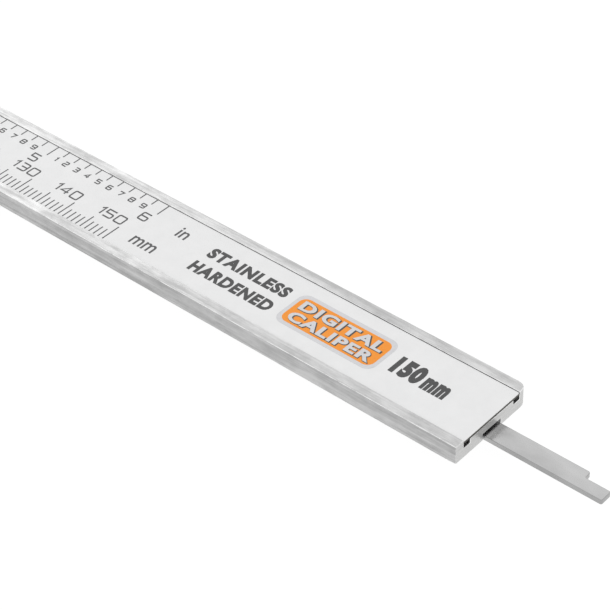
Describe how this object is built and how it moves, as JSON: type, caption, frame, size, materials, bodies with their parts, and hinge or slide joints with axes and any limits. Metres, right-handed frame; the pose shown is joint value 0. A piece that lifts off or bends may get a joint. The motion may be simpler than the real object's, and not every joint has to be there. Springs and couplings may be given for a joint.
{
  "type": "digital caliper",
  "caption": "Digital slide caliper: steel beam with printed scale and fixed jaws, slider with moving jaws, display, depth rod, thumb roller and lock screw.",
  "frame": {"origin": "centre of the underside of the bounding box, where the slider's back cover rests", "axes": "+X along the beam towards the depth-rod end, +Y across the beam towards the inside jaws, +Z out of the display face"},
  "size_m": [0.2566, 0.072, 0.016],
  "materials": {
    "ground_steel": "ground stainless steel with fine lengthwise lines and bright broken edges",
    "cover_steel": "thin rolled stainless sheet, satin",
    "rod_steel": "tumbled stainless steel, satin",
    "screw_steel": "turned steel, bright",
    "cell_steel": "polished nickel-plated steel",
    "bronze": "satin phosphor bronze",
    "label_white": "satin white laminated label",
    "print_ink": "dark grey printing ink",
    "badge_orange": "orange printing under a satin laminate",
    "laminate": "dark fibreglass laminate, cut edge",
    "housing_plastic": "fine-textured moulded plastic",
    "button_plastic": "satin moulded plastic",
    "window_glass": "clear polished acrylic",
    "lcd_grey": "grey-green reflective liquid-crystal glass",
    "soft_rubber": "soft conductive rubber",
    "circuit_green": "solder mask over fibreglass",
    "chip_black": "black epoxy"
  },
  "bodies": {
    "beam": {"beam": "ground_steel", "scale_strip": "laminate", "scale_label": "label_white", "end_stop": "ground_steel", "end_stop_screw_1": "screw_steel", "end_stop_screw_2": "screw_steel"},
    "slider": {"slider_frame": "ground_steel", "gib_strip": "bronze", "back_cover": "cover_steel", "depth_rod": "rod_steel", "roller_axle": "screw_steel", "display_housing": "housing_plastic", "display_window": "window_glass", "lcd_panel": "lcd_grey", "zebra_strip_1": "soft_rubber", "zebra_strip_2": "soft_rubber", "circuit_board": "circuit_green", "driver_chip": "chip_black", "battery_cell": "cell_steel", "battery_contact_negative": "bronze", "battery_contact_positive": "bronze", "gib_screw_1": "screw_steel", "gib_screw_2": "screw_steel", "cover_screw_1": "screw_steel", "housing_screw_1": "screw_steel", "cover_screw_2": "screw_steel", "housing_screw_2": "screw_steel", "cover_screw_3": "screw_steel", "housing_screw_3": "screw_steel", "cover_screw_4": "screw_steel", "housing_screw_4": "screw_steel", "rod_screw_1": "screw_steel", "rod_screw_2": "screw_steel", "dome_switch_1": "bronze", "dome_switch_2": "bronze", "dome_switch_3": "bronze"},
    "lock_screw": {"lock_screw": "screw_steel"},
    "roller": {"thumb_roller": "screw_steel"},
    "battery_door": {"battery_door": "housing_plastic"},
    "button_on_off": {"button_on_off": "button_plastic"},
    "button_zero": {"button_zero": "button_plastic"},
    "button_units": {"button_units": "button_plastic"}
  },
  "joints": [
    {"name": "slider_slide", "type": "slide", "parent": "beam", "child": "slider", "axis": [1, 0, 0], "range_m": [-0.01948, 0.1305]},
    {"name": "roller_turn", "type": "hinge", "parent": "slider", "child": "roller", "pos_m": [-0.03725, -0.0011, 0.00443], "axis": [0, 0, 1], "continuous": true},
    {"name": "lock_screw_turn", "type": "hinge", "parent": "slider", "child": "lock_screw", "pos_m": [-0.06675, 0.027, 0.00443], "axis": [0, 1, 0], "range_deg": [-90, 360]},
    {"name": "battery_door_slide", "type": "slide", "parent": "slider", "child": "battery_door", "axis": [1, 0, 0], "range_m": [0, 0.0165]},
    {"name": "button_on_off_press", "type": "slide", "parent": "slider", "child": "button_on_off", "axis": [0, 0, -1], "range_m": [0, 0.0003], "stiffness_N_per_m": 1500, "springref_m": -0.0003},
    {"name": "button_zero_press", "type": "slide", "parent": "slider", "child": "button_zero", "axis": [0, 0, -1], "range_m": [0, 0.0003], "stiffness_N_per_m": 1500, "springref_m": -0.0003},
    {"name": "button_units_press", "type": "slide", "parent": "slider", "child": "button_units", "axis": [0, 0, -1], "range_m": [0, 0.0003], "stiffness_N_per_m": 1500, "springref_m": -0.0003}
  ],
  "couplings": [
    {"joint": "roller_turn", "follows": "slider_slide", "rad_per_m": 196.08}
  ]
}
